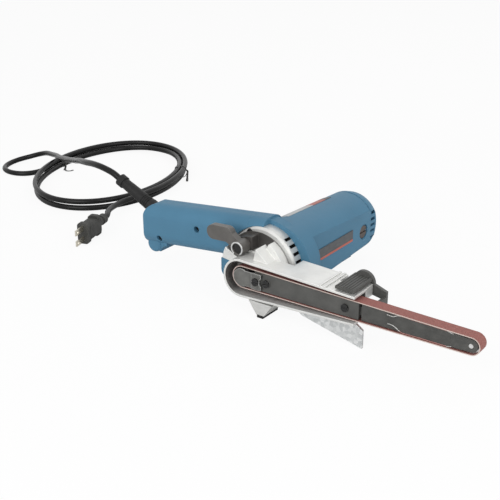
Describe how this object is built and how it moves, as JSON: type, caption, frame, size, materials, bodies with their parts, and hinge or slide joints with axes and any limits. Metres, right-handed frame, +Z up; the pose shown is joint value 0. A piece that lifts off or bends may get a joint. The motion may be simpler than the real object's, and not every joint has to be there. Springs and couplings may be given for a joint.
{
  "type": "power file",
  "caption": "Hand-held narrow belt sander with a swinging belt arm, a motor drum across it, a rear grip and a coiled mains lead",
  "frame": {"origin": "on the surface the tool stands on, below the middle of the tool without its lead", "axes": "+X along the belt arm to its tip, +Y along the spindle to the back of the motor, +Z up"},
  "size_m": [0.7896, 0.3556, 0.0948],
  "materials": {
    "abrasive": "matt red-brown grit on a cloth backing",
    "cast_light": "fine cast aluminium, satin",
    "dark_steel": "blackened steel",
    "dark_plastic": "fine grained black plastic",
    "bright_steel": "bright drawn steel",
    "black_rubber": "matt black rubber",
    "clamp_plastic": "dark warm grey plastic",
    "blue_plastic": "grey-blue plastic with a fine grain",
    "badge_grey": "dark grey printed film",
    "badge_red": "red printed film",
    "plate_silver": "matt silver film",
    "cord_black": "smooth black rubber sheath",
    "nickel": "nickel plated brass"
  },
  "bodies": {
    "housing": {"gear_housing": "cast_light", "motor_housing": "blue_plastic", "grip_cover": "blue_plastic", "grip_screws": "dark_steel", "housing_screws": "dark_steel", "foot_strip": "black_rubber", "clamp_base": "clamp_plastic", "clamp_bolt": "dark_steel", "spindle_bearing": "bright_steel", "brush_caps": "clamp_plastic", "badge": "badge_grey", "badge_stripe": "badge_red", "nameplate": "plate_silver", "cord_guard": "black_rubber", "cord": "cord_black", "cord_coil": "cord_black", "cord_ties": "dark_plastic", "plug_lead": "cord_black", "plug": "black_rubber", "plug_blades": "nickel"},
    "spindle": {"spindle": "bright_steel", "drive_pulley": "dark_steel"},
    "arm_head": {"belt": "abrasive", "belt_cover": "cast_light", "drive_shield": "dark_steel", "shield_screw": "dark_steel", "arm_holder": "dark_plastic", "holder_screws": "dark_steel", "lever_pin": "bright_steel", "skirt": "bright_steel"},
    "arm": {"arm_bar": "dark_steel", "arm_shoes": "bright_steel", "tip_axle": "bright_steel"},
    "roller": {"tip_roller": "bright_steel"},
    "release": {"release_lever": "dark_plastic"},
    "clamp": {"clamp_lever": "clamp_plastic", "clamp_clip": "bright_steel"},
    "switch": {"switch_slider": "dark_plastic"}
  },
  "joints": [
    {"name": "spindle_spin", "type": "hinge", "parent": "housing", "child": "spindle", "pos_m": [-0.04559, -0.0895, 0.036], "axis": [0, 1, 0], "continuous": true},
    {"name": "arm_swing", "type": "hinge", "parent": "housing", "child": "arm_head", "pos_m": [-0.04559, -0.0735, 0.036], "axis": [0, -1, 0], "range_deg": [0, 22]},
    {"name": "release_pivot", "type": "hinge", "parent": "arm_head", "child": "release", "pos_m": [0.07341, -0.063, 0.047], "axis": [0, 1, 0], "range_deg": [0, 12]},
    {"name": "arm_slide", "type": "slide", "parent": "arm_head", "child": "arm", "axis": [1, 0, 0], "range_m": [-0.0024, 0], "stiffness_N_per_m": 500, "springref_m": 0.003},
    {"name": "tip_spin", "type": "hinge", "parent": "arm", "child": "roller", "pos_m": [0.18949, -0.0895, 0.036], "axis": [0, 1, 0], "continuous": true},
    {"name": "clamp_turn", "type": "hinge", "parent": "housing", "child": "clamp", "pos_m": [-0.05459, -0.08575, 0.062], "axis": [0, 1, 0], "range_deg": [0, 50]},
    {"name": "switch_slide", "type": "slide", "parent": "housing", "child": "switch", "axis": [1, 0, 0], "range_m": [0, 0.006]}
  ],
  "couplings": [
    {"joint": "tip_spin", "follows": "spindle_spin", "ratio": 1.3727},
    {"joint": "release_pivot", "follows": "arm_slide", "rad_per_m": -87.2}
  ]
}
